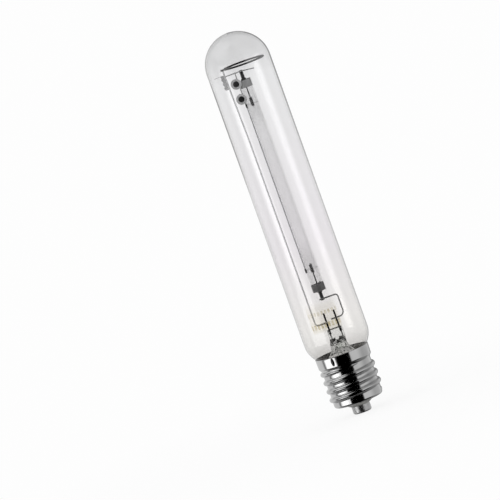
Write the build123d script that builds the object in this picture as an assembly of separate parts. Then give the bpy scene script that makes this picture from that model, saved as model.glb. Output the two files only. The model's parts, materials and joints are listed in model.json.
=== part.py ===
from build123d import *
from math import acos, asin, cos, degrees, radians, sin, sqrt, tan
import os

# A tubular high pressure sodium lamp on a screw cap: a clear outer bulb round a glass stem, a wire frame
# and a ceramic arc tube. Sizes are in millimetres and angles in degrees. The lamp stands on its centre
# contact: the origin is the middle of the contact's flat face, and +Z runs along the axis to the dome.
# The wire frame rises on the -X side, and the getter cups face -Y.

# Clearances: between pieces that are welded or soldered, and between pieces that are sealed or cemented
weld_gap = 0.02
fit_gap = 0.03

# Outer bulb, one blown piece of hard glass
lamp_height = 284.0
bulb_radius = 23.5
bulb_wall = 1.15
shoulder_radius = 17.8
neck_fillet = 6.0
neck_clearance = 0.92
neck_below_flare = 0.87
rim_clearance = 0.11

# Cap shell, rolled from thin sheet with a round thread
cap_sheet = 0.45
crest_radius = 19.7
thread_depth = 1.8
thread_pitch = 6.35
thread_length = 27.7
crest_round_per_pitch = 0.291
groove_round_per_pitch = 0.205
ridge_bite = 0.05
ridge_above_lip = 4.8
ridge_below_skirt = 2.26
runout_turns = 0.42
runout_sink = 0.5
lip_height = 8.5
lip_corner = 1.8
skirt_below_crest = 0.3
skirt_step = 1.8
skirt_length = 7.6
rim_below_crest = 0.1

# Insulator and centre contact
contact_radius = 6.7
contact_sheet = 0.4
contact_height = 5.6
contact_corner = 1.1
solder_radius = 1.5
solder_height = 1.6
insulator_radius = 10.6
insulator_bulge = 0.35
flange_clearance = 2.65
flange_height = 3.6
insulator_crown = 2.4
lead_hole_radius = 2.0

# Cement ring between the cap's skirt and the bulb
cement_height = 5.6
cement_below_rim = 1.0

# Glass stem: a flared tube, pressed flat at its top round the lead wires
press_above_rim = 17.2
press_height = 6.6
press_beyond_posts = 1.85
press_depth = 5.4
press_corner = 2.2
press_top_round = 0.9
press_shift = 0.8
press_taper = 4.6
stem_wall = 0.9
stem_lead_clearance = 0.25
flare_turn = 40.0
flare_round = 8.0
seal_height = 1.6
exhaust_lead_clearance = 0.35
exhaust_wall = 0.6
exhaust_above_lip = 10.1
exhaust_hole_radius = 1.5
exhaust_hole_tilt = 32.0

# Posts above the press, the thin wires sealed in it and the leads below it
post_radius = 0.65
post_spacing = 7.5
post_above_press = 12.3
post_in_press = 3.4
seal_wire_radius = 0.35
lead_radius = 0.3
lead_bend = 2.0
centre_lead_below_tip = 1.6
side_lead_below_neck = 8.07
side_lead_above_neck = 1.73
side_lead_angle = 244.0
bead_width = 2.6
bead_height = 6.2
bead_proud = 0.7

# Arc tube: translucent ceramic, closed by plugs
tube_above_posts = 15.9
tube_below_dome = 11.4
tube_radius = 4.4
tube_wall = 0.75
plug_length = 4.2
plug_recess = 0.5
band_sheet = 0.25
band_height = 5.4
band_fin = 1.3
band_fin_angle = 40.0

# Metal feedthroughs, their seals and the electrodes
feedthrough_radius = 1.25
feedthrough_wall = 0.3
upper_feedthrough_length = 7.6
lower_feedthrough_length = 7.4
frit_radius = 1.75
frit_height = 1.6
electrode_radius = 0.45
upper_electrode_length = 15.1
lower_electrode_length = 15.8
electrode_stub = 0.7
coil_wire_radius = 0.36
coil_pitch = 0.82
coil_turns = 7
amalgam_radius = 0.9
amalgam_reach = 2.2

# Wire frame with its support ring in the dome
frame_wire_radius = 0.6
frame_foot_below_tops = 6.9
frame_foot_overrun = 0.9
frame_bend = 2.4
frame_lean_below_top = 52.0
frame_top_to_bulb = 9.85
frame_foot_to_top = 1.0
ring_wire_radius = 0.65
ring_to_bulb = 3.3
ring_inside_frame = 1.1
ring_tail = 1.2
ring_tail_bend = 1.5
ring_end_angle = 177.0

# Cross wire from the frame to the upper feedthrough
cross_wire_radius = 0.4
cross_wire_below_tip = 0.6
cross_wire_end_x = 9.4
cross_wire_end_drop = 0.9

# Leaf spring that steadies the frame in the bulb
spring_sheet = 0.3
spring_width = 3.6
spring_shift = 0.9
spring_angle = 113.0
spring_below_ring = 14.4
spring_rise = 10.5
spring_droop = 1.0
spring_bend = 1.4
spring_weld_radius = 0.5
spring_weld_height = 0.2
spring_weld_count = 3
spring_tooth_length = 1.5
spring_tooth_reach = 0.5
spring_tooth_pitch = 3.1
spring_tooth_count = 3

# Lower lead, from the lower feedthrough to the right post
lower_lead_radius = 0.53
lower_lead_overrun = 2.3
lower_lead_reach = 10.8
lower_lead_upper_bend = 1.8
lower_lead_lower_bend = 3.5
lower_lead_foot_below_tops = 5.6
lower_lead_end_x = 1.0
lower_lead_weld_up = 0.6

# Ignition wire along the arc tube, with its hanger, clips and ferrules
ignition_radius = 0.4
ignition_clip_above_band = 11.3
ignition_clip_below_band = 12.3
hanger_forward = 1.9
hanger_bend = 0.9
hanger_top_straight = 1.6
hanger_slant = 1.4
ferrule_radius = 0.62
ferrule_length = 3.0
clip_radius = 0.1
clip_opening = 18.0

# Getter cups on the hanger
getter_radius = 3.8
getter_depth = 1.3
getter_sheet = 0.25
getter_well_radius = 2.2
getter_well_depth = 1.0
getter_left_of_hanger = 1.8
upper_getter_below_ring = 12.2
getter_spacing = 11.2
pellet_height = 0.8


# The cap's radii and heights
root_radius = crest_radius - thread_depth
crest_round = crest_round_per_pitch * thread_pitch
groove_round = groove_round_per_pitch * thread_pitch
ridge_start_height = lip_height + ridge_above_lip
ridge_turns = (thread_length - ridge_above_lip - ridge_below_skirt) / thread_pitch
runout_depth = thread_depth + runout_sink
skirt_radius = crest_radius - skirt_below_crest
skirt_height = lip_height + thread_length + skirt_step
rim_radius = crest_radius - rim_below_crest
rim_height = skirt_height + skirt_length
flange_radius = root_radius - cap_sheet - flange_clearance

# The bulb's neck fits the cap, and its shoulder clears the rim
dome_height = lamp_height - bulb_radius
bulb_inner_radius = bulb_radius - bulb_wall
neck_radius = root_radius - cap_sheet - neck_clearance
shoulder_turn = degrees(acos(1 - (bulb_radius - neck_radius) / (shoulder_radius + neck_fillet)))
shoulder_at_rim = rim_radius - cap_sheet - rim_clearance - (bulb_radius - shoulder_radius)
shoulder_height = rim_height + sqrt(shoulder_radius ** 2 - shoulder_at_rim ** 2)
neck_top = shoulder_height - (shoulder_radius + neck_fillet) * sin(radians(shoulder_turn))

# The stem, which clears the leads inside it and ends in the neck
press_top = rim_height + press_above_rim
press_bottom = press_top - press_height
press_width = post_spacing + 2 * press_beyond_posts
tube_top = press_bottom - press_taper
post_top = press_top + post_above_press
left_post_x = press_shift - post_spacing / 2
right_post_x = press_shift + post_spacing / 2
stem_tube_radius = right_post_x + lead_radius + stem_lead_clearance + stem_wall
flare_lean = radians(flare_turn)
cone_start_radius = stem_tube_radius + flare_round * (1 - cos(flare_lean))
cone_start_height = tube_top - flare_round * sin(flare_lean)
collar_radius = neck_radius - bulb_wall - fit_gap
collar_top = cone_start_height - (collar_radius - cone_start_radius) / tan(flare_lean)
collar_bottom = collar_top - seal_height
neck_bottom = collar_bottom - neck_below_flare
exhaust_radius = -left_post_x - lead_radius - exhaust_lead_clearance
exhaust_tip = lip_height + exhaust_above_lip
centre_lead_turn_height = exhaust_tip - centre_lead_below_tip
side_lead_turn_height = neck_bottom - side_lead_below_neck
side_lead_height = neck_top + side_lead_above_neck

# The arc tube and the wires round it
arc_bottom = post_top + tube_above_posts
arc_top = dome_height - tube_below_dome
arc_inner_radius = tube_radius - tube_wall
band_radius = tube_radius + fit_gap + band_sheet
ring_height = dome_height
frame_top_x = -(bulb_inner_radius - frame_top_to_bulb - frame_wire_radius)
frame_foot_x = frame_top_x + frame_foot_to_top
ring_left = frame_top_x + ring_inside_frame
ring_right = bulb_inner_radius - ring_to_bulb - ring_wire_radius
ring_radius = (ring_right - ring_left) / 2
ring_x = (ring_right + ring_left) / 2
cross_y = -(feedthrough_radius + weld_gap + cross_wire_radius)
cross_height = arc_top - plug_recess + upper_feedthrough_length - cross_wire_below_tip
frame_foot_y = -(post_radius + weld_gap + frame_wire_radius)
frame_top = ring_height - ring_wire_radius - weld_gap
frame_cross_y = cross_y + cross_wire_radius + weld_gap + frame_wire_radius
frame_cross_share = (frame_top - cross_height) / frame_lean_below_top
frame_top_y = (frame_cross_y - frame_foot_y * frame_cross_share) / (1 - frame_cross_share)
ignition_y = cross_y - cross_wire_radius - weld_gap - ignition_radius
ignition_reach = band_radius + weld_gap + ignition_radius
ignition_x = -sqrt(ignition_reach ** 2 - ignition_y ** 2)
ignition_angle = 180 + degrees(asin(-ignition_y / ignition_reach))
upper_ferrule_height = arc_top - band_height - ignition_clip_below_band
lower_ferrule_height = arc_bottom + band_height + ignition_clip_above_band


def arc(centre, radius, start, end):
    """An arc in the XZ plane about centre (r, z), between two angles counted from +X towards +Z."""
    points = []
    for angle in (start, (start + end) / 2, end):
        along = direction(angle) * radius
        points.append((centre[0] + along.X, 0, centre[1] + along.Y))
    return ThreePointArc(*points)


def outline(*parts):
    """A face in the XZ plane from arcs and corners (r, z), joined end to end by straight lines."""
    edges = []
    ends = []
    for part in parts:
        if isinstance(part, tuple):
            ends.append((Vector(part[0], 0, part[1]),) * 2)
        else:
            edges.append(part)
            ends.append((part @ 0, part @ 1))
    for (_, leaving), (arriving, _) in zip(ends, ends[1:] + ends[:1]):
        if (arriving - leaving).length > 1e-6:
            edges.append(Line(leaving, arriving))
    return make_face(edges)


def turned(*parts):
    """The solid that the outline sweeps round the lamp's axis."""
    return revolve(outline(*parts), Axis.Z)


def wire(radius, path):
    """A round wire along a path."""
    return sweep(Plane(origin=path @ 0, z_dir=path % 0) * Circle(radius), path=path)


def upright(radius, x, y, low, high):
    """A round bar parallel to the axis, between two heights."""
    return Pos(x, y, low) * extrude(Circle(radius), high - low)


def direction(angle):
    """The unit vector across the axis at an angle counted from +X."""
    return Vector(cos(radians(angle)), sin(radians(angle)), 0)


def filled_bulb(inset):
    """The bulb's outer form moved inwards by inset, and solid throughout."""
    radius = bulb_radius - inset
    return turned(
        (0, neck_bottom),
        (neck_radius - inset, neck_bottom),
        arc((neck_radius + neck_fillet, neck_top), neck_fillet + inset, 180, 180 - shoulder_turn),
        arc((bulb_radius - shoulder_radius, shoulder_height), shoulder_radius - inset, -shoulder_turn, 0),
        arc((0, dome_height), radius, 0, 90),
    )


def outer_bulb():
    """The bulb, with an open neck."""
    return filled_bulb(0) - filled_bulb(bulb_wall)


def ridge_face(inset):
    """One ridge of the round thread in section: a round crest with half a round groove at each side."""
    crest_centre = crest_radius - crest_round
    groove_centre = root_radius - ridge_bite + groove_round
    half_width = sqrt((crest_round + groove_round) ** 2 - (groove_centre - crest_centre) ** 2)
    lean = degrees(acos((groove_centre - crest_centre) / (crest_round + groove_round)))
    groove = groove_round + inset
    foot = root_radius - ridge_bite - inset
    return outline(
        (foot - crest_round / 4, -half_width),
        arc((groove_centre, -half_width), groove, 180, 180 - lean),
        arc((crest_centre, 0), crest_round - inset, -lean, lean),
        arc((groove_centre, half_width), groove, 180 + lean, 180),
        (foot - crest_round / 4, half_width),
    )


def thread(inset):
    """The helical ridge, with a run-out at each end that sinks it into the shell."""
    section = ridge_face(inset)
    rise = ridge_turns * thread_pitch
    runout_rise = runout_turns * thread_pitch
    cone = -degrees(asin(runout_depth / sqrt(runout_depth ** 2 + runout_rise ** 2)))
    ridge = sweep(section, path=Helix(thread_pitch, rise, crest_radius), is_frenet=True)
    sinking = Helix(thread_pitch, runout_rise, crest_radius, cone_angle=cone)
    runout = sweep(section, path=sinking, is_frenet=True)
    upper = Pos(0, 0, rise) * Rot(0, 0, 360 * ridge_turns) * runout
    lower = Rot(180, 0, 0) * runout
    pieces = [Pos(0, 0, ridge_start_height) * Rot(0, 0, 90) * piece for piece in (ridge, upper, lower)]
    above_lip = upright(crest_radius + crest_round, 0, 0, lip_height + inset, rim_height)
    pieces[2] = pieces[2] & above_lip
    return pieces


def filled_cap(inset, top):
    """The cap's outer form moved inwards by inset, solid throughout, up to a height."""
    corner = lip_corner - inset
    body = turned(
        (0, lip_height + inset),
        arc((root_radius - lip_corner, lip_height + lip_corner), corner, -90, 0),
        (root_radius - inset, skirt_height - skirt_step),
        (skirt_radius - inset, skirt_height),
        (rim_radius - inset, rim_height),
        (rim_radius - inset, top),
        (0, top),
    )
    for piece in thread(inset):
        body = body + piece
    return body


def cap_shell(side_lead_path):
    """The shell, open at the rim, with a hole in its bottom lip and a small one for the side lead."""
    shell = filled_cap(0, rim_height) - filled_cap(cap_sheet, rim_height + cap_sheet)
    lip_hole = upright(insulator_radius + fit_gap, 0, 0, lip_height - cap_sheet, lip_height + 2 * cap_sheet)
    return shell - lip_hole - wire(lead_radius + fit_gap, side_lead_path)


def centre_contact():
    """A drawn cup with a flat face, pierced for the lead."""
    inner = contact_corner - contact_sheet
    centre = (contact_radius - contact_corner, contact_corner)
    return turned(
        (solder_radius, 0),
        arc(centre, contact_corner, -90, 0),
        (contact_radius, contact_height),
        (contact_radius - contact_sheet, contact_height),
        arc(centre, inner, 0, -90),
        (solder_radius, contact_sheet),
    )


def contact_solder():
    """The drop of solder that fills the contact's hole round the lead's end."""
    radius = solder_radius - weld_gap
    top = (lead_radius, solder_height)
    drop = turned((0, 0), (radius, 0), (radius, contact_sheet), top, (0, solder_height))
    return drop - upright(lead_radius + weld_gap, 0, 0, contact_sheet, solder_height)


def insulator():
    """The moulded glass that fills the contact, bulges out below the lip and has a flange above it."""
    cup_radius = contact_radius - contact_sheet - fit_gap
    cup_corner = contact_corner - contact_sheet
    floor = contact_sheet + fit_gap
    seat = lip_height + cap_sheet + fit_gap
    low = (contact_radius, contact_height + fit_gap)
    high = (insulator_radius, lip_height)
    slope = sqrt((high[0] - low[0]) ** 2 + (high[1] - low[1]) ** 2)
    middle = (
        (low[0] + high[0]) / 2 + insulator_bulge * (high[1] - low[1]) / slope,
        (low[1] + high[1]) / 2 - insulator_bulge * (high[0] - low[0]) / slope,
    )
    return turned(
        (lead_hole_radius, floor),
        arc((cup_radius - cup_corner, floor + cup_corner), cup_corner, -90, 0),
        (cup_radius, low[1]),
        ThreePointArc((low[0], 0, low[1]), (middle[0], 0, middle[1]), (high[0], 0, high[1])),
        (insulator_radius, seat),
        (flange_radius, seat),
        (flange_radius, seat + flange_height),
        (lead_hole_radius, seat + insulator_crown),
    )


def cap_cement(side_lead_path):
    """The ring of cement between the skirt and the bulb's neck."""
    top = rim_height - cement_below_rim
    bottom = top - cement_height
    ring = turned((0, bottom), (rim_radius, bottom), (rim_radius, top), (0, top))
    inside_shell = turned(
        (0, bottom),
        (skirt_radius - cap_sheet - fit_gap, bottom),
        (skirt_radius - cap_sheet - fit_gap, skirt_height),
        (rim_radius - cap_sheet - fit_gap, rim_height),
        (0, rim_height),
    )
    return (ring & inside_shell) - filled_bulb(-fit_gap) - wire(lead_radius + fit_gap, side_lead_path)


def stem_glass(wires):
    """The flared stem tube and the press at its top, with a bore for each wire and the exhaust hole."""
    round_centre = (stem_tube_radius + flare_round, tube_top)
    bore_radius = stem_tube_radius - stem_wall
    bore_round = flare_round + stem_wall
    bore_cone = (
        round_centre[0] - bore_round * cos(flare_lean),
        tube_top - bore_round * sin(flare_lean),
    )
    mouth_radius = collar_radius - stem_wall
    mouth_height = bore_cone[1] - (mouth_radius - bore_cone[0]) / tan(flare_lean)
    flare = turned(
        (bore_radius, tube_top),
        (stem_tube_radius, tube_top),
        arc(round_centre, flare_round, 180, 180 + flare_turn),
        (collar_radius, collar_top),
        (collar_radius, collar_bottom),
        (mouth_radius, collar_bottom),
        (mouth_radius, mouth_height),
        arc(round_centre, bore_round, 180 + flare_turn, 180),
    )
    press_place = Pos(press_shift, 0, press_bottom)
    press_face = press_place * RectangleRounded(press_width, press_depth, press_corner)
    taper = loft([Pos(0, 0, tube_top) * Circle(stem_tube_radius), press_face])
    block = extrude(press_face, press_height)
    block = fillet(block.edges().group_by(Axis.Z)[-1], press_top_round)
    glass = flare + taper + block
    for piece in wires:
        glass = glass - piece
    hole_start = Pos(press_shift / 2, 0, tube_top - weld_gap) * Rot(exhaust_hole_tilt, 0, 0)
    hole_length = press_depth / sin(radians(exhaust_hole_tilt))
    return glass - hole_start * extrude(Circle(exhaust_hole_radius), hole_length)


def exhaust_tube():
    """The thin tube below the press, sealed to a rounded tip where it was melted off."""
    bore = exhaust_radius - exhaust_wall
    centre = (0, exhaust_tip + exhaust_radius)
    return turned(
        (bore, tube_top),
        (exhaust_radius, tube_top),
        arc(centre, exhaust_radius, 0, -90),
        arc(centre, bore, -90, 0),
    )


def centre_lead_path():
    """The lead from the left seal wire, down past the exhaust tube's tip and into the contact."""
    return FilletPolyline(
        (left_post_x, 0, tube_top),
        (left_post_x, 0, centre_lead_turn_height),
        (0, 0, centre_lead_turn_height + left_post_x),
        (0, 0, contact_sheet + weld_gap),
        radius=lead_bend,
    )


def side_lead_path():
    """The lead from the right seal wire, round the end of the neck and up to a hole in the skirt."""
    outward = direction(side_lead_angle)
    channel = (neck_radius + root_radius - cap_sheet) / 2
    channel_foot = outward * channel + Vector(0, 0, side_lead_turn_height)
    channel_top = outward * channel + Vector(0, 0, side_lead_height)
    return FilletPolyline(
        (right_post_x, 0, tube_top),
        (right_post_x, 0, side_lead_turn_height),
        channel_foot,
        channel_top,
        channel_top + outward * (rim_radius - channel + bead_proud / 2),
        radius=[lead_bend, lead_bend, lead_radius * 3],
    )


def side_bead(lead):
    """The flat bead of solder on the skirt, over the side lead's end."""
    place = direction(side_lead_angle) * skirt_radius + Vector(0, 0, side_lead_height)
    bead = scale(Sphere(1), by=(bead_proud, bead_width / 2, bead_height / 2))
    bead = Pos(*place) * Rot(0, 0, side_lead_angle) * bead
    return bead - filled_cap_skirt(weld_gap) - lead


def filled_cap_skirt(gap):
    """The skirt's outer form, solid, and grown by a gap."""
    return turned(
        (0, skirt_height - skirt_step),
        (root_radius + gap, skirt_height - skirt_step),
        (skirt_radius + gap, skirt_height),
        (rim_radius + gap, rim_height),
        (0, rim_height),
    )


def post(x):
    """A stiff post, held by its foot in the press."""
    return upright(post_radius, x, 0, press_top - post_in_press, post_top)


def seal_wire(x):
    """The thin wire sealed in the press, between the post and the lead."""
    return upright(seal_wire_radius, x, 0, tube_top, press_top - post_in_press)


def arc_tube():
    """The translucent tube, open at its ends for the plugs."""
    ring = Circle(tube_radius) - Circle(arc_inner_radius)
    return Pos(0, 0, arc_bottom) * extrude(ring, arc_top - arc_bottom)


def plug(low):
    """A ceramic plug with a bore for the feedthrough."""
    ring = Circle(arc_inner_radius - fit_gap) - Circle(feedthrough_radius + fit_gap)
    return Pos(0, 0, low) * extrude(ring, plug_length)


def feedthrough(plug_face, end):
    """A thin tube through a plug, closed by a disc at its inner end where the electrode is held."""
    low = min(plug_face, end)
    high = max(plug_face, end)
    disc_low = low if plug_face < end else high - feedthrough_wall
    tube = upright(feedthrough_radius, 0, 0, low, high)
    bore = upright(feedthrough_radius - feedthrough_wall, 0, 0, low, high)
    return tube - (bore - upright(feedthrough_radius, 0, 0, disc_low, disc_low + feedthrough_wall))


def frit(low):
    """The collar of sealing glass round a feedthrough, on its plug."""
    ring = Circle(frit_radius) - Circle(feedthrough_radius + weld_gap)
    return Pos(0, 0, low) * extrude(ring, frit_height)


def band(low):
    """A strip of metal round the end of the arc tube, its ends pinched together in a fin."""
    ring = Circle(band_radius) - Circle(tube_radius + fit_gap)
    reach = band_radius - band_sheet / 2
    fin = Rot(0, 0, band_fin_angle) * Pos(reach + band_fin / 2, 0) * Rectangle(band_fin, 2 * band_sheet)
    return Pos(0, 0, low) * extrude(ring + fin, band_height)


def electrode(low, length):
    """A tungsten rod on the feedthrough's disc."""
    return upright(electrode_radius, 0, 0, low, low + length)


def coil(low):
    """The turns of tungsten wire on an electrode."""
    radius = electrode_radius + weld_gap + coil_wire_radius
    return wire(coil_wire_radius, Pos(0, 0, low) * Helix(coil_pitch, coil_turns * coil_pitch, radius))


def frame_wire():
    """The long wire: a foot across the left post, a bend, a straight rise and a lean out to the ring."""
    path = FilletPolyline(
        (left_post_x + frame_foot_overrun, frame_foot_y, post_top - frame_foot_below_tops),
        (frame_foot_x, frame_foot_y, post_top - frame_foot_below_tops),
        (frame_foot_x, frame_foot_y, frame_top - frame_lean_below_top),
        (frame_top_x, frame_top_y, frame_top),
        radius=frame_bend,
    )
    return wire(frame_wire_radius, path)


def frame_wire_at(height):
    """The place of the frame wire's axis at a height where it leans."""
    share = (frame_top - height) / frame_lean_below_top
    foot = Vector(frame_foot_x, frame_foot_y, height)
    top = Vector(frame_top_x, frame_top_y, height)
    return top + (foot - top) * share


def support_ring():
    """The ring in the dome: a tail across the frame wire's top, a small bend, and one turn back to it."""
    centre = Vector(ring_x, 0, ring_height)
    reach = ring_radius + ring_tail_bend
    bend_y = frame_top_y - ring_tail_bend
    bend_centre = Vector(ring_x - sqrt(reach ** 2 - bend_y ** 2), bend_y, ring_height)
    join = centre + (bend_centre - centre) * (ring_radius / reach)
    tail_end = bend_centre + Vector(0, ring_tail_bend, 0)
    middle = bend_centre + ((tail_end - bend_centre) + (join - bend_centre)).normalized() * ring_tail_bend
    start = 180 + degrees(asin(-bend_y / reach))
    path = Wire([
        Line(tail_end - Vector(ring_tail, 0, 0), tail_end),
        ThreePointArc(tail_end, middle, join),
        CenterArc(centre, ring_radius, start, 360 + ring_end_angle - start),
    ])
    return wire(ring_wire_radius, path)


def cross_wire():
    """The thin wire from the frame across the upper feedthrough, with its free end bent down a little."""
    path = Polyline(
        (frame_top_x, cross_y, cross_height),
        (feedthrough_radius, cross_y, cross_height),
        (cross_wire_end_x, cross_y, cross_height - cross_wire_end_drop),
    )
    return wire(cross_wire_radius, path)


def bulb_spring():
    """The leaf spring: welded up the frame wire, with small teeth, and bent out to the bulb's wall."""
    outward = direction(spring_angle)
    sideways = direction(spring_angle + 90)
    low = ring_height - spring_below_ring
    high = low + spring_rise
    stand = outward * (frame_wire_radius + weld_gap + spring_sheet / 2)
    shift = sideways * spring_shift
    top = frame_wire_at(high) + stand + shift
    across = abs(top.dot(sideways)) + spring_width / 2
    wall = sqrt((bulb_inner_radius - fit_gap) ** 2 - across ** 2)
    end = top + outward * (wall - top.dot(outward)) - Vector(0, 0, spring_droop)
    path = FilletPolyline(frame_wire_at(low) + stand + shift, top, end, radius=spring_bend)
    strip = Plane(origin=path @ 0, x_dir=outward, z_dir=path % 0) * Rectangle(spring_sheet, spring_width)
    spring = sweep(strip, path=path)
    for place in range(spring_tooth_count):
        root = frame_wire_at(low + (place + 0.5) * spring_tooth_pitch - spring_tooth_length / 2)
        edge = root + stand + shift + sideways * spring_width / 2
        tooth = extrude(Rectangle(spring_sheet, 2 * spring_tooth_reach), spring_tooth_length)
        spring = spring + Plane(origin=edge, x_dir=outward, z_dir=(0, 0, 1)) * tooth
    for place in range(spring_weld_count):
        height = low + (place + 0.5) * (spring_rise - spring_bend) / spring_weld_count
        seat = Plane(origin=frame_wire_at(height) + stand, z_dir=outward)
        spring = spring + seat * extrude(Circle(spring_weld_radius), spring_sheet / 2 + spring_weld_height)
    return spring


def lower_lead():
    """The bent wire from the lower feedthrough out, down and back across the right post."""
    top_y = -(feedthrough_radius + weld_gap + lower_lead_radius)
    foot_y = -(post_radius + weld_gap + lower_lead_radius)
    top = arc_bottom + plug_recess - lower_feedthrough_length + lower_lead_radius + lower_lead_weld_up
    foot = post_top - lower_lead_foot_below_tops
    path = FilletPolyline(
        (-lower_lead_overrun, top_y, top),
        (lower_lead_reach, top_y, top),
        (lower_lead_reach, foot_y, foot),
        (lower_lead_end_x, foot_y, foot),
        radius=[lower_lead_upper_bend, lower_lead_lower_bend],
    )
    return wire(lower_lead_radius, path)


def ignition_wire():
    """The starting wire, straight along the arc tube from the lower ferrule to the upper one."""
    return upright(
        ignition_radius,
        ignition_x,
        ignition_y,
        lower_ferrule_height - ferrule_length / 2,
        upper_ferrule_height - weld_gap / 2,
    )


def hanger():
    """The getters' wire: down from the cross wire, forward of the arc tube, and back to the ferrule."""
    top = cross_height + ignition_radius + cross_wire_radius
    forward_y = ignition_y - hanger_forward
    bend_top = top - ignition_radius - cross_wire_radius - hanger_top_straight
    bend_bottom = upper_ferrule_height + ferrule_length / 2 + hanger_bend
    path = FilletPolyline(
        (ignition_x, ignition_y, top),
        (ignition_x, ignition_y, bend_top),
        (ignition_x, forward_y, bend_top - hanger_slant),
        (ignition_x, forward_y, bend_bottom + hanger_slant),
        (ignition_x, ignition_y, bend_bottom),
        (ignition_x, ignition_y, upper_ferrule_height + weld_gap / 2),
        radius=hanger_bend,
    )
    return wire(ignition_radius, path)


def ferrule(height):
    """A short sleeve squeezed on the ignition wire."""
    sleeve = Circle(ferrule_radius) - Circle(ignition_radius + weld_gap)
    return Pos(ignition_x, ignition_y, height - ferrule_length / 2) * extrude(sleeve, ferrule_length)


def clip(height):
    """A thin wire round the arc tube, from one side of a ferrule to the other."""
    centre = Vector(0, 0, height)
    path = CenterArc(
        centre,
        tube_radius + fit_gap + clip_radius,
        ignition_angle + clip_opening / 2,
        360 - clip_opening,
    )
    return wire(clip_radius, path)


def facing_front(solid, height):
    """Turns a solid made about +Z so that it faces -Y, and sets its back on the hanger at a height."""
    back = ignition_y - hanger_forward - ignition_radius - weld_gap
    return Pos(ignition_x - getter_left_of_hanger, back, height) * Rot(90, 0, 0) * solid


def getter_cup(height):
    """A pressed cup with a channel round its middle well."""
    cup = turned(
        (0, 0),
        (getter_radius, 0),
        (getter_radius, getter_depth),
        (getter_radius - getter_sheet, getter_depth),
        (getter_radius - getter_sheet, getter_sheet),
        (getter_well_radius + getter_sheet, getter_sheet),
        (getter_well_radius + getter_sheet, getter_well_depth),
        (getter_well_radius, getter_well_depth),
        (getter_well_radius, getter_sheet),
        (0, getter_sheet),
    )
    return facing_front(cup, height)


def getter_pellet(height):
    """The pressed powder in a cup's well."""
    pellet = extrude(Circle(getter_well_radius - weld_gap), pellet_height)
    return facing_front(Pos(0, 0, getter_sheet + weld_gap) * pellet, height)


def build_nodes():
    """Every piece of the lamp by its name."""
    left_wire = seal_wire(left_post_x)
    right_wire = seal_wire(right_post_x)
    left_post = post(left_post_x)
    right_post = post(right_post_x)
    side_path = side_lead_path()
    side_lead = wire(lead_radius, side_path)
    lower_plug_height = arc_bottom + plug_recess
    upper_plug_height = arc_top - plug_recess - plug_length
    lower_disc = lower_plug_height + plug_length
    amalgam_height = lower_disc + fit_gap + amalgam_radius
    lower_tip = lower_disc + lower_electrode_length
    upper_tip = upper_plug_height - upper_electrode_length
    upper_getter_height = ring_height - upper_getter_below_ring
    lower_getter_height = upper_getter_height - getter_spacing
    upper_end = arc_top - plug_recess + upper_feedthrough_length
    nodes = {
        "outer_bulb": outer_bulb(),
        "stem_glass": stem_glass([left_wire, right_wire, left_post, right_post]),
        "exhaust_tube": exhaust_tube(),
        "cap_shell": cap_shell(side_path),
        "cap_insulator": insulator(),
        "centre_contact": centre_contact(),
        "contact_solder": contact_solder(),
        "cap_cement": cap_cement(side_path),
        "centre_lead": wire(lead_radius, centre_lead_path()),
        "side_lead": side_lead,
        "side_solder": side_bead(side_lead),
        "left_seal_wire": left_wire,
        "right_seal_wire": right_wire,
        "left_post": left_post,
        "right_post": right_post,
        "arc_tube": arc_tube(),
        "lower_plug": plug(lower_plug_height),
        "upper_plug": plug(upper_plug_height),
        "lower_frit": frit(lower_plug_height - frit_height),
        "upper_frit": frit(upper_plug_height + plug_length),
        "lower_feedthrough": feedthrough(lower_disc, lower_plug_height - lower_feedthrough_length),
        "upper_feedthrough": feedthrough(upper_plug_height, upper_end),
        "lower_electrode": electrode(lower_disc, lower_electrode_length),
        "upper_electrode": electrode(upper_tip, upper_electrode_length),
        "lower_coil": coil(lower_tip - electrode_stub - coil_turns * coil_pitch),
        "upper_coil": coil(upper_tip + electrode_stub),
        "amalgam_bead": Pos(amalgam_reach, 0, amalgam_height) * Sphere(amalgam_radius),
        "lower_band": band(arc_bottom),
        "upper_band": band(arc_top - band_height),
        "frame_wire": frame_wire(),
        "support_ring": support_ring(),
        "cross_wire": cross_wire(),
        "bulb_spring": bulb_spring(),
        "lower_lead": lower_lead(),
        "ignition_wire": ignition_wire(),
        "getter_hanger": hanger(),
        "upper_getter_cup": getter_cup(upper_getter_height),
        "lower_getter_cup": getter_cup(lower_getter_height),
        "upper_getter_pellet": getter_pellet(upper_getter_height),
        "lower_getter_pellet": getter_pellet(lower_getter_height),
    }
    for name, height in (("lower", lower_ferrule_height), ("upper", upper_ferrule_height)):
        nodes[name + "_ferrule"] = ferrule(height)
        nodes[name + "_clip"] = clip(height)
    return nodes


os.makedirs("parts", exist_ok=True)
for node_name, solid in build_nodes().items():
    export_step(solid, f"parts/{node_name}.step")
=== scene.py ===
import json
import math

import bpy
from mathutils import Matrix, Vector


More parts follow.
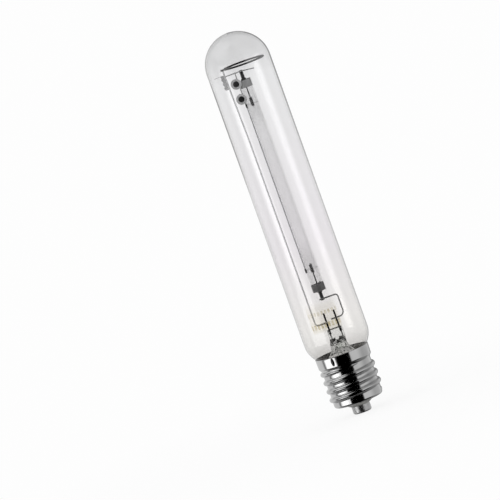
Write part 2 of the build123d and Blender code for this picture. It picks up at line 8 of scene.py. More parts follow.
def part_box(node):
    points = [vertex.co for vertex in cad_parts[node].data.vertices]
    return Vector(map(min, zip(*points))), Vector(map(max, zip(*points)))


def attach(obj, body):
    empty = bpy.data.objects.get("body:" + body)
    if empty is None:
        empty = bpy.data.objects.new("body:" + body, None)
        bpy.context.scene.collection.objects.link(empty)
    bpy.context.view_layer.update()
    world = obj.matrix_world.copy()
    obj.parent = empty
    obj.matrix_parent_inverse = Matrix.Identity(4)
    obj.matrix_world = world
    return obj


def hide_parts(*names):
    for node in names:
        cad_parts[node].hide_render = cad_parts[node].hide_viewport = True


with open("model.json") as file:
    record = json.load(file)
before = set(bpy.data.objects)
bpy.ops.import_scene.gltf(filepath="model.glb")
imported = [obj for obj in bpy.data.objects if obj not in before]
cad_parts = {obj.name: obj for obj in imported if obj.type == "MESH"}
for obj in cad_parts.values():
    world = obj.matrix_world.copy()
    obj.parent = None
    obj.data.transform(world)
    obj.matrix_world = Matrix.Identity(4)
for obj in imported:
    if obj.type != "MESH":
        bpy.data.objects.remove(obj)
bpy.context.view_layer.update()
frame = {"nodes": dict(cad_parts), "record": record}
scene = bpy.context.scene

# A tubular high pressure sodium lamp on a screw cap, in a white studio. Every piece gets a material, and the
# bulb and the threaded shell get smoother skins of their own form. Lengths are in millimetres and angles in
# degrees where nothing else is said, and MM turns a length into Blender's metres.
MM = 0.001

# Camera, in metres and radians: the place in the picture's middle, and the photograph's distance, height
# above the lamp's side, tilt and width of view
CAMERA_AIM = Vector((-0.03638, 0.0, 0.1348))
CAMERA_DISTANCE = 4.6
CAMERA_ELEVATION = math.radians(5.5)
CAMERA_ROLL = math.radians(19.799)
CAMERA_ANGLE = math.radians(4.375)
CAMERA_REACH = 30

# Bulb and cap shell: the CAD part's own sizes
BULB_WALL = 1.15
SHOULDER_RADIUS = 17.8
NECK_FILLET = 6.0
NECK_CLEARANCE = 0.92
RIM_CLEARANCE = 0.11
CAP_SHEET = 0.45
CREST_RADIUS = 19.7
THREAD_DEPTH = 1.8
THREAD_PITCH = 6.35
THREAD_LENGTH = 27.7
CREST_ROUND_PER_PITCH = 0.291
GROOVE_ROUND_PER_PITCH = 0.205
RIDGE_BITE = 0.05
RIDGE_ABOVE_LIP = 4.8
RIDGE_BELOW_SKIRT = 2.26
RUNOUT_TURNS = 0.42
RUNOUT_SINK = 0.5
LIP_CORNER = 1.8
LIP_HOLE_RADIUS = 10.63
SKIRT_BELOW_CREST = 0.3
SKIRT_STEP = 1.8
RIM_BELOW_CREST = 0.1

# Small chamfers that only the skin has: at the skirt's lower corner, below it and above it, and at the rim
CHAMFER_BELOW = 0.3
CHAMFER_ABOVE = 0.2
RIM_CHAMFER = 0.1

# How finely the skins are divided, how far apart the thread's slope is taken, and what stays a sharp edge
ARC_STEP = 3.0
BULB_SEGMENTS = 192
CAP_SEGMENTS = 180
THREAD_STEP = 0.14
SKIRT_LEVELS = 12
SLOPE_STEP = 0.01
SHARP_ANGLE = 40

# Sizes worked out from those and from the frame
BULB_LOW, BULB_TOP = (corner.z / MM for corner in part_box("outer_bulb"))
BULB_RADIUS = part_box("outer_bulb")[1].x / MM
LIP_HEIGHT, RIM_HEIGHT = (corner.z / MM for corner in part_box("cap_shell"))
ROOT_RADIUS = CREST_RADIUS - THREAD_DEPTH
CREST_ROUND = CREST_ROUND_PER_PITCH * THREAD_PITCH
GROOVE_ROUND = GROOVE_ROUND_PER_PITCH * THREAD_PITCH
RIDGE_START = LIP_HEIGHT + RIDGE_ABOVE_LIP
RIDGE_TURNS = (THREAD_LENGTH - RIDGE_ABOVE_LIP - RIDGE_BELOW_SKIRT) / THREAD_PITCH
RUNOUT_DEPTH = THREAD_DEPTH + RUNOUT_SINK
THREAD_TOP = LIP_HEIGHT + THREAD_LENGTH
SKIRT_HEIGHT = THREAD_TOP + SKIRT_STEP
SKIRT_RADIUS = CREST_RADIUS - SKIRT_BELOW_CREST
RIM_RADIUS = CREST_RADIUS - RIM_BELOW_CREST
NECK_RADIUS = ROOT_RADIUS - CAP_SHEET - NECK_CLEARANCE
SHOULDER_TURN = math.degrees(math.acos(1 - (BULB_RADIUS - NECK_RADIUS) / (SHOULDER_RADIUS + NECK_FILLET)))
SHOULDER_AT_RIM = RIM_RADIUS - CAP_SHEET - RIM_CLEARANCE - (BULB_RADIUS - SHOULDER_RADIUS)
SHOULDER_HEIGHT = RIM_HEIGHT + math.sqrt(SHOULDER_RADIUS ** 2 - SHOULDER_AT_RIM ** 2)
NECK_TOP = SHOULDER_HEIGHT - (SHOULDER_RADIUS + NECK_FILLET) * math.sin(math.radians(SHOULDER_TURN))

# Looks: how much clear glass mirrors where it faces the view, how deep a bump of full strength goes in metal
# and in powder, and the dashes that stand for the bulb's printing
GLASS_MIRROR = 0.04
METAL_GRAIN = 0.05
POWDER_GRAIN = 0.15
DASHES_PER_RADIAN = 9.0
MARK_COLOUR = (0.56, 0.49, 0.30)

# Floor: half its width in metres, and its share of paper at distances from the lamp's axis
FLOOR_REACH = 1.5
FLOOR_FADE = ((0, 0.12), (60, 0.06), (300, 0.0))

# Studio. Each part has stops (azimuth, level) round the lamp and stops (elevation, level) up the walls. Its
# strength at a place is the product of both. Azimuths count from the side that the camera sees, positive to
# the camera's right.
STUDIO = {
    "walls": (
        (
            (-180, 0.75),
            (-108, 0.72),
            (-98, 0.22),
            (-38, 0.20),
            (-34, 0.0),
            (25, 0.0),
            (29, 0.68),
            (60, 0.68),
            (88, 0.47),
            (120, 0.56),
            (142, 0.70),
            (160, 0.30),
            (180, 0.20),
        ),
        ((-34, 0.45), (-24, 1.0), (14, 1.0), (30, 0.6)),
    ),
    "shadow": (
        ((20, 0.0), (24, 1.0), (62, 1.0), (88, 0.0)),
        ((-90, 0.95), (-20, 0.95), (-13, 0.0)),
    ),
    "softbox": (
        ((-84, 0.0), (-70, 1.0), (-60, 1.0), (-44, 0.0)),
        ((-6.75, 0.0), (-6.6, 1.0), (-3.0, 1.0), (-2.6, 0.15), (12, 0.15), (18, 0.0)),
    ),
    "card": (
        ((-94, 0.0), (-86, 1.0), (-40, 1.0), (-36, 0.0)),
        ((-12.5, 0.0), (-11.5, 1.0), (-6.75, 1.0), (-6.6, 0.0)),
    ),
    "ceiling": (
        ((-170, 0.0), (-120, 1.0), (-60, 1.0), (-24, 0.0)),
        ((26, 0.0), (36, 1.0), (80, 1.0), (86, 0.0)),
    ),
    "backdrop": (
        ((-115, 1.0), (-105, 0.0), (105, 0.0), (115, 1.0)),
        ((-24, 0.0), (-16, 1.0), (16, 1.0), (24, 0.0)),
    ),
}

# The light that each part has, from the first laid over the walls to the last, the backdrop's white, and the
# light round the lamp that rough surfaces get
PART_LIGHT = {"shadow": 0.0, "softbox": 3.0, "card": 1.75, "ceiling": 0.9}
BACKDROP = 0.985
SOFT_LIGHT = ((-180, 0.7), (-90, 1.15), (0, 0.75), (108, 0.62), (180, 0.7))


def make_camera():
    """The camera looks along +Y, a little down, and is rolled so that the lamp leans to the left."""
    ahead = Vector((0, math.cos(CAMERA_ELEVATION), -math.sin(CAMERA_ELEVATION)))
    level = Vector((1, 0, 0))
    upward = level.cross(ahead)
    right = math.cos(CAMERA_ROLL) * level - math.sin(CAMERA_ROLL) * upward
    above = math.sin(CAMERA_ROLL) * level + math.cos(CAMERA_ROLL) * upward
    camera = bpy.data.objects.new("camera", bpy.data.cameras.new("camera"))
    camera.data.sensor_fit = "HORIZONTAL"
    camera.data.angle = CAMERA_ANGLE
    camera.data.clip_end = CAMERA_REACH
    turn = Matrix((right, above, -ahead)).transposed().to_4x4()
    camera.matrix_world = Matrix.Translation(CAMERA_AIM - CAMERA_DISTANCE * ahead) @ turn
    scene.collection.objects.link(camera)
    scene.camera = camera


class Tree:
    """Adds nodes to a shader tree, with each input given as a value or as another node's output."""

    def __init__(self, tree):
        self.tree = tree
        tree.nodes.clear()

    def add(self, kind, inputs=None, **settings):
        """A node with its settings, and its inputs by their names or numbers."""
        node = self.tree.nodes.new(kind)
        for name, value in settings.items():
            setattr(node, name, value)
        for name, value in (inputs or {}).items():
            if isinstance(value, bpy.types.NodeSocket):
                self.tree.links.new(value, node.inputs[name])
            else:
                node.inputs[name].default_value = value
        return node

    def math(self, operation, *values):
        return self.add("ShaderNodeMath", dict(enumerate(values)), operation=operation).outputs[0]

    def span(self, value, low, high, to=(0.0, 1.0)):
        """A number that goes from the first to the second of to while the value goes from low to high."""
        inputs = {"Value": value, "From Min": low, "From Max": high, "To Min": to[0], "To Max": to[1]}
        return self.add("ShaderNodeMapRange", inputs).outputs[0]

    def ramp(self, share, *stops):
        """A colour ramp through (share, grey or colour) stops, with shares from 0 to 1."""
        node = self.add("ShaderNodeValToRGB", {"Fac": share})
        elements = node.color_ramp.elements
        while len(elements) < len(stops):
            elements.new(0.5)
        for element, (position, colour) in zip(elements, stops):
            element.position = position
            element.color = rgba(colour)
        return node.outputs["Color"]

    def graph(self, number, *stops):
        """A colour ramp through (number, grey or colour) stops, with numbers of any size."""
        low = stops[0][0]
        high = stops[-1][0]
        shares = [((at - low) / (high - low), colour) for at, colour in stops]
        return self.ramp(self.span(number, low, high), *shares)

    def mix(self, share, first, second, blend="MIX"):
        """Two colours mixed. A mix node's inputs for its share and its colours are numbers 0, 6 and 7."""
        inputs = {0: share, 6: rgba(first), 7: rgba(second)}
        return self.add("ShaderNodeMix", inputs, data_type="RGBA", blend_type=blend).outputs[2]

    def product(self, first, second):
        """Two colours multiplied."""
        return self.mix(1.0, first, second, "MULTIPLY")

    def mix_shaders(self, share, first, second):
        inputs = {0: share, 1: first.outputs[0], 2: second.outputs[0]}
        return self.add("ShaderNodeMixShader", inputs)

    def place(self):
        """The place on the object, in millimetres, as separate coordinates."""
        metres = self.add("ShaderNodeTexCoord").outputs["Object"]
        place = self.add("ShaderNodeVectorMath", {"Vector": metres, "Scale": 1 / MM}, operation="SCALE")
        return self.add("ShaderNodeSeparateXYZ", {"Vector": place.outputs["Vector"]}).outputs

    def facing(self):
        """0 where the surface faces the view, and 1 where it turns away."""
        return self.add("ShaderNodeLayerWeight", {"Blend": 0.5}).outputs["Facing"]

    def noise(self, scale, detail=4.0, stretch=(1, 1, 1)):
        """Noise that is fixed to the object, with a scale in features to the metre."""
        place = self.add("ShaderNodeTexCoord").outputs["Object"]
        if stretch != (1, 1, 1):
            place = self.add("ShaderNodeMapping", {"Vector": place, "Scale": stretch}).outputs[0]
        node = self.add("ShaderNodeTexNoise", {"Vector": place, "Scale": scale, "Detail": detail})
        return node.outputs["Fac"]

    def mottle(self, scale, detail, dark, light):
        """Clouds of two shades."""
        share = self.ramp(self.noise(scale, detail), (0.35, 0.0), (0.65, 1.0))
        return self.mix(share, dark, light)

    def bump(self, height, strength, depth):
        """Normals that follow a height of 0 to 1, which is depth millimetres at full strength."""
        inputs = {"Height": height, "Strength": strength, "Distance": depth * MM}
        return self.add("ShaderNodeBump", inputs).outputs["Normal"]


def rgba(colour):
    """A grey or an RGB colour with full alpha. A node's output stays as it is."""
    if isinstance(colour, bpy.types.NodeSocket):
        return colour
    if isinstance(colour, (int, float)):
        colour = (colour, colour, colour)
    return (*colour, 1.0)


def new_material(name):
    material = bpy.data.materials.new(name)
    material.use_nodes = True
    return material, Tree(material.node_tree)


def surface(tree, shader):
    """Gives a material the shader as its surface."""
    tree.add("ShaderNodeOutputMaterial", {"Surface": shader.outputs[0]})


def metal(name, dark, light, roughness, grain=900.0, stretch=(1, 1, 1), bump=0.15, metallic=1.0):
    """Bare or plated metal: clouds of two shades, fine grain, and a roughness that varies with the grain."""
    material, tree = new_material(name)
    fine = tree.noise(grain, 5.0, stretch)
    surface(tree, tree.add("ShaderNodeBsdfPrincipled", {
        "Base Color": tree.mottle(grain / 7, 2.0, dark, light),
        "Metallic": metallic,
        "Roughness": tree.span(fine, 0.3, 0.7, roughness),
        "Normal": tree.bump(fine, bump, METAL_GRAIN),
    }))
    return material


def powder(name, dark, light, roughness, grain=700.0, bump=0.2, coat=0.0):
    """Fired or pressed powder, cement and glass that isn't clear: mottled, and slightly rough."""
    material, tree = new_material(name)
    surface(tree, tree.add("ShaderNodeBsdfPrincipled", {
        "Base Color": tree.mottle(grain / 6, 3.0, dark, light),
        "Roughness": roughness,
        "Coat Weight": coat,
        "Coat Roughness": 0.05,
        "Normal": tree.bump(tree.noise(grain, 6.0), bump, POWDER_GRAIN),
    }))
    return material


def bulb_tint_and_shade(tree):
    """How much the bulb's walls let through: a trace violet in its middle, painted shade that darkens its
    dome, and darker and warm at its neck.
    """
    return tree.graph(
        tree.place()["Z"],
        (47.3, (0.925, 0.92, 0.914)),
        (55.9, (0.984, 0.98, 0.974)),
        (66.8, (1.0, 0.995, 0.989)),
        (125.4, (0.998, 0.99, 0.997)),
        (249.8, (0.998, 0.998, 1.0)),
        (266.9, (0.962, 0.962, 0.964)),
    )


def edge_shade(tree):
    """How light the bulb's very edge looks, as painted shade: darkest below the dome, and darker on its left
    side.
    """
    place = tree.place()
    left = tree.graph(
        place["Z"],
        (0, 0.84),
        (170.4, 0.86),
        (198.8, 0.40),
        (244.2, 0.28),
        (255.6, 0.68),
        (284, 0.70),
    )
    right = tree.graph(
        place["Z"],
        (0, 0.80),
        (156.2, 0.84),
        (210.2, 0.66),
        (255.6, 0.45),
        (272.6, 0.42),
        (284, 0.68),
    )
    return tree.mix(tree.span(place["X"], 4, 12), left, right)


def marks(tree):
    """Two rows of plain dashes low on the bulb's front, in a faint field, where the real one is printed."""
    place = tree.place()
    around = tree.math("ARCTAN2", place["X"], tree.math("MULTIPLY", place["Y"], -1.0))
    dash_share = tree.math("FRACT", tree.math("MULTIPLY", around, DASHES_PER_RADIAN))
    dash = tree.ramp(dash_share, (0.0, 0.0), (0.08, 1.0), (0.66, 1.0), (0.74, 0.0))
    rows = tree.graph(
        place["Z"],
        (66.9, 0.0),
        (67.8, 0.95),
        (70.8, 0.95),
        (71.7, 0.0),
        (76.5, 0.0),
        (77.1, 0.6),
        (79.5, 0.6),
        (80.1, 0.0),
    )
    worn = tree.ramp(tree.noise(330.0, 2.0), (0.36, 0.7), (0.6, 1.0))
    field = tree.graph(place["Z"], (64.2, 0.0), (66.6, 0.30), (82.2, 0.16), (87.0, 0.0))
    front = tree.graph(tree.math("DEGREES", around), (-37.8, 0.0), (-36.0, 1.0), (14.4, 1.0), (18.0, 0.0))
    dashes = tree.product(tree.product(rows, worn), dash)
    return tree.math("MULTIPLY", tree.math("MAXIMUM", dashes, field), front)


def outside_face(tree):
    """The bulb's outside: how clear it is, with its shaded edge and its marks, and how much it mirrors."""
    facing = tree.facing()
    body = tree.ramp(facing, (0.0, 0.99), (0.5, 0.98), (0.66, 0.955), (0.74, 0.90))
    edge = tree.ramp(facing, (0.70, 0.0), (0.80, 1.0))
    clear = tree.mix(marks(tree), tree.mix(edge, body, edge_shade(tree)), MARK_COLOUR)
    return clear, tree.math("MULTIPLY_ADD", tree.math("POWER", facing, 5.0), 0.9, GLASS_MIRROR)


def inside_face(tree):
    """The bulb's inside: how clear it is, and how much it mirrors."""
    facing = tree.facing()
    clear = tree.ramp(facing, (0.0, 0.955), (0.6, 0.945), (1.0, 0.93))
    return clear, tree.math("MULTIPLY_ADD", facing, 0.02, GLASS_MIRROR)


def clear_glass(name, face):
    """Clear thin glass: the view passes straight through, and each face mirrors a little of the studio."""
    material, tree = new_material(name)
    clear, mirrored = face(tree)
    through = tree.add("ShaderNodeBsdfTransparent", {"Color": tree.product(clear, bulb_tint_and_shade(tree))})
    mirror = tree.add("ShaderNodeBsdfGlossy", {
        "Color": rgba(1.0),
        "Roughness": 0.03,
        "Normal": tree.bump(tree.noise(40.0, 2.0), 0.04, 0.5),
    })
    surface(tree, tree.mix_shaders(mirrored, through, mirror))
    return material


def middle_dark_wire(name):
    """The support ring's wire: grey, and near black across its middle."""
    material, tree = new_material(name)
    fine = tree.noise(1200.0, 5.0)
    colour = tree.graph(
        tree.place()["X"],
        (-14.0, 0.20),
        (-8.7, 0.16),
        (-5.1, 0.02),
        (4.5, 0.02),
        (7.8, 0.20),
        (19.0, 0.30),
    )
    surface(tree, tree.add("ShaderNodeBsdfPrincipled", {
        "Base Color": colour,
        "Metallic": 0.5,
        "Roughness": tree.span(fine, 0.3, 0.7, (0.35, 0.5)),
        "Normal": tree.bump(fine, 0.15, METAL_GRAIN),
    }))
    return material


def thick_glass(name, tint, waviness):
    """Solid glass that bends the view, darkened by painted shade at its edges, with painted glints low down.
    Light for other pieces isn't bent.
    """
    material, tree = new_material(name)
    # Painted shade: the glass grows darker towards its edges, where it turns away from the view.
    outline = tree.ramp(tree.facing(), (0.0, 1.0), (0.45, 0.95), (0.75, 0.55), (1.0, 0.12))
    glass = tree.add("ShaderNodeBsdfGlass", {
        "Color": tree.product(outline, tint),
        "Roughness": 0.0,
        "IOR": 1.48,
        "Normal": tree.bump(tree.noise(260.0, 3.0), waviness, 0.6),
    })
    # Painted glints: white patches low in the stem stand in for its sparkling reflections.
    painted_glint_patches = tree.ramp(tree.noise(430.0, 1.0, (1, 1, 1.4)), (0.455, 0.0), (0.515, 1.0))
    low = tree.graph(tree.place()["Z"], (36.0, 0.95), (45.0, 0.85), (49.2, 0.0))
    painted_glints = tree.add("ShaderNodeBsdfPrincipled", {"Base Color": rgba(1.0), "Roughness": 0.12})
    lively = tree.mix_shaders(tree.product(painted_glint_patches, low), glass, painted_glints)
    straight = tree.add("ShaderNodeBsdfTransparent", {"Color": rgba(tint)})
    path = tree.add("ShaderNodeLightPath").outputs
    lighting = tree.math("MAXIMUM", path["Is Shadow Ray"], path["Is Diffuse Ray"])
    surface(tree, tree.mix_shaders(lighting, lively, straight))
    return material


def alumina(name):
    """Translucent ceramic: milky, clear enough to show the electrodes, and with painted shade round each of
    them.
    """
    material, tree = new_material(name)
    facing = tree.facing()
    # Painted shade: the ceramic lets less through round each electrode, standing in for their shadow.
    painted_electrode_shade = tree.graph(
        tree.place()["Z"],
        (91.0, 0.955),
        (100.5, 0.965),
        (113.1, 0.94),
        (128.9, 0.985),
        (214.2, 0.985),
        (226.9, 0.945),
        (239.5, 0.97),
    )
    clear = tree.product(tree.ramp(facing, (0.0, 1.0), (0.6, 0.985), (1.0, 0.90)), painted_electrode_shade)
    through = tree.add("ShaderNodeBsdfTransparent", {"Color": clear})
    cloud = tree.ramp(tree.noise(160.0, 3.0, (1, 1, 0.3)), (0.3, 0.0), (0.7, 1.0))
    milk = tree.add("ShaderNodeBsdfPrincipled", {
        "Base Color": tree.mix(cloud, 0.74, 0.84),
        "Roughness": 0.35,
        "Normal": tree.bump(tree.noise(1500.0, 4.0), 0.12, METAL_GRAIN),
    })
    share = tree.ramp(facing, (0.0, 0.05), (0.6, 0.08), (1.0, 0.22))
    surface(tree, tree.mix_shaders(share, through, milk))
    return material


def slot_materials():
    """The material of each slot in the record, by the slot's name."""
    dark_grit = (0.05, 0.048, 0.045), (0.12, 0.115, 0.105)
    grey_glass = (0.15, 0.15, 0.14), (0.30, 0.30, 0.285)
    dark_glass = (0.03, 0.03, 0.028), (0.08, 0.08, 0.075)
    return {
        "clear_glass": clear_glass("clear_glass", outside_face),
        "stem_glass": thick_glass("stem_glass", (0.97, 0.975, 0.97), 0.35),
        "alumina": alumina("alumina"),
        "plated_brass": metal("plated_brass", 0.60, 0.68, (0.06, 0.14), 500.0, (1, 1, 0.2), 0.05),
        "contact_metal": metal("contact_metal", 0.50, 0.66, (0.26, 0.40), 700.0, (1, 1, 8), 0.3),
        "solder": metal("solder", 0.42, 0.62, (0.25, 0.45), 500.0, bump=0.5),
        "lead_wire": metal("lead_wire", 0.32, 0.45, (0.3, 0.5)),
        "tungsten": metal("tungsten", 0.05, 0.09, (0.5, 0.7), 1500.0, metallic=0.6),
        "nickel_wire": metal("nickel_wire", 0.58, 0.70, (0.40, 0.55), 1200.0, (1, 1, 0.15), metallic=0.5),
        "spring_steel": metal("spring_steel", 0.42, 0.56, (0.40, 0.55), 900.0, (1, 1, 0.2), metallic=0.4),
        "niobium": metal("niobium", 0.17, 0.23, (0.45, 0.6), 1000.0, metallic=0.4),
        "amalgam": metal("amalgam", 0.45, 0.65, (0.1, 0.3), 800.0),
        "getter_metal": metal("getter_metal", 0.74, 0.86, (0.35, 0.5), 1000.0, metallic=0.15),
        "getter_powder": powder("getter_powder", 0.010, 0.028, 0.85, 1500.0, 0.6),
        "cement": powder("cement", *dark_grit, 0.9, 900.0, 0.6),
        "insulator_glass": powder("insulator_glass", *grey_glass, 0.28, 600.0, coat=0.5),
        "sealing_glass": powder("sealing_glass", *dark_glass, 0.35, 900.0, coat=0.3),
    }


def own_tone_materials():
    """The materials of the nodes that are darker or paler than the rest of their slot."""
    post_metal = metal("post_metal", 0.03, 0.06, (0.3, 0.45), 1200.0, (1, 1, 0.15))
    dark_niobium = metal("dark_niobium", 0.05, 0.10, (0.35, 0.5), 1000.0, metallic=0.6)
    return {
        "side_solder": metal("dark_solder", 0.08, 0.22, (0.25, 0.4), 500.0, bump=0.5),
        "support_ring": middle_dark_wire("middle_dark_wire"),
        "left_post": post_metal,
        "right_post": post_metal,
        "upper_band": metal("pale_niobium", 0.42, 0.50, (0.5, 0.65), 1000.0, metallic=0.3),
        "lower_lead": metal("lead_metal", 0.26, 0.34, (0.35, 0.5), 1200.0, metallic=0.6),
        "upper_feedthrough": dark_niobium,
        "lower_feedthrough": dark_niobium,
        "upper_ferrule": dark_niobium,
        "lower_ferrule": dark_niobium,
    }


def dress_nodes(materials):
    """Each CAD node takes its own darker or paler material, or else the material of its slot in the record.
    """
    own_tones = own_tone_materials()
    for part in frame["record"]["subparts"]:
        mesh = frame["nodes"][part["node"]].data
        mesh.materials.clear()
        mesh.materials.append(own_tones.get(part["node"], materials[part["material_slot"]]))


def corners(first, ring, steps):
    """The numbers of a ring's points at some steps, or of its one point at a pole."""
    if len(ring) == 1:
        return [first]
    return [first + step for step in steps]


def skin(name, rings, materials, material_of_row, normals=None):
    """A smooth mesh through rings of points and back to the first ring. A ring of one point is a pole."""
    points = []
    firsts = []
    for ring in rings:
        firsts.append(len(points))
        points.extend(ring)
    faces = []
    face_materials = []
    for row, ring in enumerate(rings):
        following = (row + 1) % len(rings)
        count = max(len(ring), len(rings[following]))
        for step in range(count if count > 1 else 0):
            beside = (step + 1) % count
            low = corners(firsts[row], ring, (step, beside))
            high = corners(firsts[following], rings[following], (beside, step))
            faces.append(low + high)
            face_materials.append(material_of_row(row))
    mesh = bpy.data.meshes.new(name)
    mesh.from_pydata(points, [], faces)
    mesh.polygons.foreach_set("use_smooth", [True] * len(faces))
    mesh.polygons.foreach_set("material_index", face_materials)
    mesh.set_sharp_from_angle(angle=math.radians(SHARP_ANGLE))
    if normals:
        mesh.normals_split_custom_set_from_vertices(normals)
    for material in materials:
        mesh.materials.append(material)
    piece = bpy.data.objects.new(name, mesh)
    scene.collection.objects.link(piece)
    return piece


def circle(radius_at, height, segments):
    """A level ring of points in metres, from a radius at each angle and a height in millimetres."""
    points = []
    for step in range(segments):
        angle = 2 * math.pi * step / segments
        radius = radius_at(angle)
        points.append((radius * math.cos(angle) * MM, radius * math.sin(angle) * MM, height * MM))
    return points


def arc(centre, radius, start, end):
    """Points (radius, height) on an arc, with angles from outward towards up."""
    steps = math.ceil(abs(end - start) / ARC_STEP)
    points = []
    for step in range(steps + 1):
        angle = math.radians(start + (end - start) * step / steps)
        points.append((centre[0] + radius * math.cos(angle), centre[1] + radius * math.sin(angle)))
    return points


def bulb_profile(inset):
    """The bulb's form from the neck's end to the pole, moved inwards by inset."""
    neck = arc((NECK_RADIUS + NECK_FILLET, NECK_TOP), NECK_FILLET + inset, 180, 180 - SHOULDER_TURN)
    shoulder_centre = (BULB_RADIUS - SHOULDER_RADIUS, SHOULDER_HEIGHT)
    shoulder = arc(shoulder_centre, SHOULDER_RADIUS - inset, -SHOULDER_TURN, 0)
    dome = arc((0, BULB_TOP - BULB_RADIUS), BULB_RADIUS - inset, 0, 90)
    return [(NECK_RADIUS - inset, BULB_LOW)] + neck + shoulder[1:] + dome


def make_bulb(material):
    """The bulb's skin: its outside up to the pole, and its inside back down."""
    outside = bulb_profile(0)
    inside = bulb_profile(BULB_WALL)[::-1]
    rings = []
    for radius, height in outside + inside:
        count = 1 if math.isclose(radius, 0, abs_tol=1e-6) else BULB_SEGMENTS
        rings.append(circle(lambda angle: radius, height, count))
    materials = (material, clear_glass("clear_glass_inside", inside_face))
    bulb = skin("bulb_glass", rings, materials, lambda row: 0 if row < len(outside) else 1)
    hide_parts("outer_bulb")
    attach(bulb, "root")


def ridge_radius(offset, sink):
    """The thread ridge's radius at a height above its middle, when sunk by some depth, and 0 beside it."""
    crest_centre = CREST_RADIUS - CREST_ROUND
    groove_centre = ROOT_RADIUS - RIDGE_BITE + GROOVE_ROUND
    reach = CREST_ROUND + GROOVE_ROUND
    half_width = math.sqrt(reach ** 2 - (groove_centre - crest_centre) ** 2)
    away = abs(offset)
    if away < CREST_ROUND * half_width / reach:
        return crest_centre + math.sqrt(CREST_ROUND ** 2 - away ** 2) - sink
    if away < half_width:
        return groove_centre - math.sqrt(GROOVE_ROUND ** 2 - (half_width - away) ** 2) - sink
    return 0


def thread_radius(angle, height, root):
    """The shell's radius at an angle in radians: the root, or the ridge where it passes. It starts at +Y."""
    radius = root
    for turn in range(-2, math.ceil(RIDGE_TURNS) + 2):
        turns = (angle - math.pi / 2) / (2 * math.pi) + turn
        if -RUNOUT_TURNS <= turns <= RIDGE_TURNS + RUNOUT_TURNS:
            beyond = max(0, -turns, turns - RIDGE_TURNS) / RUNOUT_TURNS
            offset = height - RIDGE_START - turns * THREAD_PITCH
            radius = max(radius, ridge_radius(offset, beyond * RUNOUT_DEPTH))
    return radius


def thread_normal(angle, height):
    """The way that the threaded wall faces, from the slope of its radius up and round it."""
    slopes = []
    for turn, rise in ((SLOPE_STEP / ROOT_RADIUS, 0), (0, SLOPE_STEP)):
        after = thread_radius(angle + turn, height + rise, ROOT_RADIUS)
        before = thread_radius(angle - turn, height - rise, ROOT_RADIUS)
        slopes.append((after - before) / (2 * SLOPE_STEP))
    outward = Vector((math.cos(angle), math.sin(angle), 0))
    around = Vector((-math.sin(angle), math.cos(angle), 0))
    return (outward - slopes[0] * around - slopes[1] * Vector((0, 0, 1))).normalized()


def cap_profile():
    """The shell's outside without its ridge: the lip, the wall under the thread, and the skirt."""
    lip = [(LIP_HOLE_RADIUS, LIP_HEIGHT)]
    lip += arc((ROOT_RADIUS - LIP_CORNER, LIP_HEIGHT + LIP_CORNER), LIP_CORNER, -90, 0)
    wall_height = THREAD_TOP - LIP_HEIGHT - LIP_CORNER
    wall = []
    for level in range(1, round(wall_height / THREAD_STEP)):
        wall.append((ROOT_RADIUS, LIP_HEIGHT + LIP_CORNER + THREAD_STEP * level))
    skirt = [
        (ROOT_RADIUS, THREAD_TOP),
        (SKIRT_RADIUS - CHAMFER_BELOW, SKIRT_HEIGHT - CHAMFER_BELOW),
        (SKIRT_RADIUS, SKIRT_HEIGHT + CHAMFER_ABOVE),
    ]
    for level in range(1, SKIRT_LEVELS):
        share = level / SKIRT_LEVELS
        radius = SKIRT_RADIUS + (RIM_RADIUS - SKIRT_RADIUS) * share
        skirt.append((radius, SKIRT_HEIGHT + (RIM_HEIGHT - SKIRT_HEIGHT) * share))
    skirt.append((RIM_RADIUS, RIM_HEIGHT - RIM_CHAMFER))
    skirt.append((RIM_RADIUS - RIM_CHAMFER, RIM_HEIGHT))
    return lip, wall, skirt


def make_cap(material):
    """The shell's skin, thread and all: its outside from the lip's hole to the rim, and its inside back."""
    lip, wall, skirt = cap_profile()
    profile = lip + wall + skirt
    rings = []
    for root, height in profile:
        rings.append(circle(lambda angle: thread_radius(angle, height, root), height, CAP_SEGMENTS))
    for root, height in profile[::-1]:
        sheet = CAP_SHEET if root > LIP_HOLE_RADIUS else 0
        level = max(height, LIP_HEIGHT + CAP_SHEET)
        rings.append(circle(lambda angle: thread_radius(angle, height, root) - sheet, level, CAP_SEGMENTS))
    own_normal = Vector((0, 0, 0))
    normals = [own_normal] * len(lip) * CAP_SEGMENTS
    for _, height in wall:
        for step in range(CAP_SEGMENTS):
            normals.append(thread_normal(2 * math.pi * step / CAP_SEGMENTS, height))
    normals += [own_normal] * (len(rings) * CAP_SEGMENTS - len(normals))
    cap = skin("threaded_shell", rings, (material,), lambda row: 0, normals)
    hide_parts("cap_shell")
    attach(cap, "root")


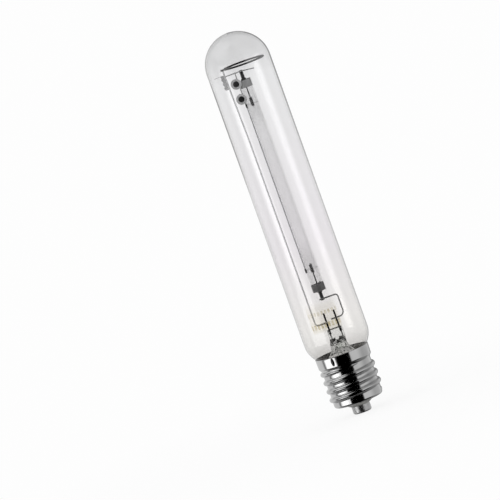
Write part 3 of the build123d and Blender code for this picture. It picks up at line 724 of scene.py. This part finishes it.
def make_floor():
    """A white floor under the lamp: a little paper that thins out to nothing. Mirrors don't show it."""
    mesh = bpy.data.meshes.new("floor")
    around = ((-1, -1), (1, -1), (1, 1), (-1, 1))
    mesh.from_pydata([(x * FLOOR_REACH, y * FLOOR_REACH, 0) for x, y in around], [], [(0, 1, 2, 3)])
    floor = bpy.data.objects.new("floor", mesh)
    material, tree = new_material("floor")
    place = tree.place()
    squares = (tree.math("POWER", place[axis], 2) for axis in "XY")
    away = tree.math("SQRT", tree.math("ADD", *squares))
    open_floor = tree.add("ShaderNodeBsdfTransparent", {"Color": rgba(1.0)})
    paper = tree.add("ShaderNodeBsdfDiffuse", {"Color": rgba(0.99)})
    surface(tree, tree.mix_shaders(tree.graph(away, *FLOOR_FADE), open_floor, paper))
    mesh.materials.append(material)
    floor.visible_glossy = False
    floor.visible_transmission = False
    floor.visible_diffuse = False
    scene.collection.objects.link(floor)


def make_world():
    """A white backdrop for the camera, and grey walls with lights and a dark place for reflections."""
    world = bpy.data.worlds.new("studio")
    scene.world = world
    world.use_nodes = True
    world.cycles.sampling_method = "NONE"
    tree = Tree(world.node_tree)
    direction = tree.add("ShaderNodeTexCoord").outputs["Generated"]
    axes = tree.add("ShaderNodeSeparateXYZ", {"Vector": direction}).outputs
    toward = tree.math("MULTIPLY", axes["Y"], -1.0)
    azimuth = tree.span(tree.math("ARCTAN2", axes["X"], toward), -math.pi, math.pi)
    elevation = tree.span(tree.math("ARCSINE", axes["Z"]), -math.pi / 2, math.pi / 2)

    def around(stops):
        return tree.ramp(azimuth, *((angle / 360 + 0.5, level) for angle, level in stops))

    def strength(part):
        across, up = STUDIO[part]
        upward = tree.ramp(elevation, *((angle / 180 + 0.5, level) for angle, level in up))
        return tree.product(around(across), upward)

    studio = strength("walls")
    for part, light in PART_LIGHT.items():
        studio = tree.mix(strength(part), studio, light)
    through_glass = tree.mix(strength("backdrop"), studio, BACKDROP)
    path = tree.add("ShaderNodeLightPath").outputs
    colour = tree.mix(path["Is Transmission Ray"], studio, through_glass)
    colour = tree.mix(path["Is Diffuse Ray"], colour, around(SOFT_LIGHT))
    colour = tree.mix(path["Is Camera Ray"], colour, BACKDROP)
    background = tree.add("ShaderNodeBackground", {"Color": colour, "Strength": 1.0})
    tree.add("ShaderNodeOutputWorld", {"Surface": background.outputs[0]})


make_camera()
slots = slot_materials()
dress_nodes(slots)
make_bulb(slots["clear_glass"])
make_cap(slots["plated_brass"])
make_floor()
make_world()

# True whites, and enough bounces to see through the bulb's walls, the stem and the arc tube
scene.view_settings.view_transform = "Standard"
scene.cycles.transparent_max_bounces = 32
scene.cycles.max_bounces = 16
scene.cycles.transmission_bounces = 12
scene.cycles.glossy_bounces = 6
